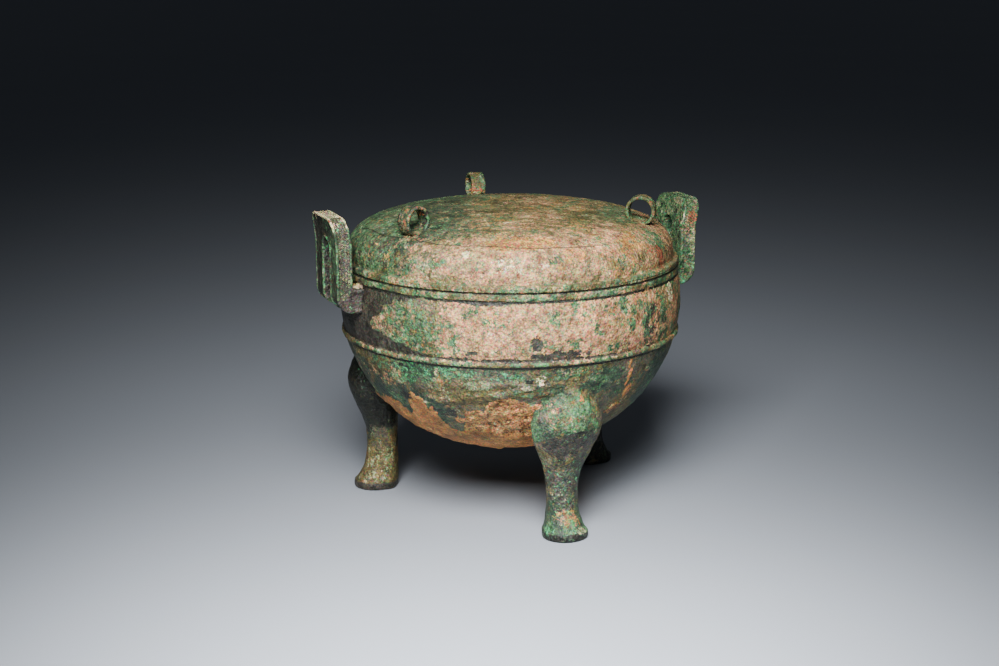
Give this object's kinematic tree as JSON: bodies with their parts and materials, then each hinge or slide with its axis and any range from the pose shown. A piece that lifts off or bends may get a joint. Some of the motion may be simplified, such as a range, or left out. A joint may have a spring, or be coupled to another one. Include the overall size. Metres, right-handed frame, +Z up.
{
  "type": "lidded bronze ding vessel",
  "caption": "Ancient cast bronze tripod vessel with a round bowl, upright slotted ears, cabriole legs and a domed lift-off lid with standing rings, under green and brown patina.",
  "frame": {"origin": "on the floor under the middle of the vessel", "axes": "+Z up along the bowl's axis, +X along the line through the two ears, -Y towards the leg that stands alone"},
  "size_m": [0.2315, 0.2016, 0.1854],
  "materials": {
    "vessel_bronze": "cast bronze under mottled green, tan and slate patina",
    "lid_bronze": "cast bronze under pinkish tan, olive and green patina"
  },
  "bodies": {
    "root": {"vessel": "vessel_bronze", "lid": "lid_bronze"}
  },
  "joints": []
}
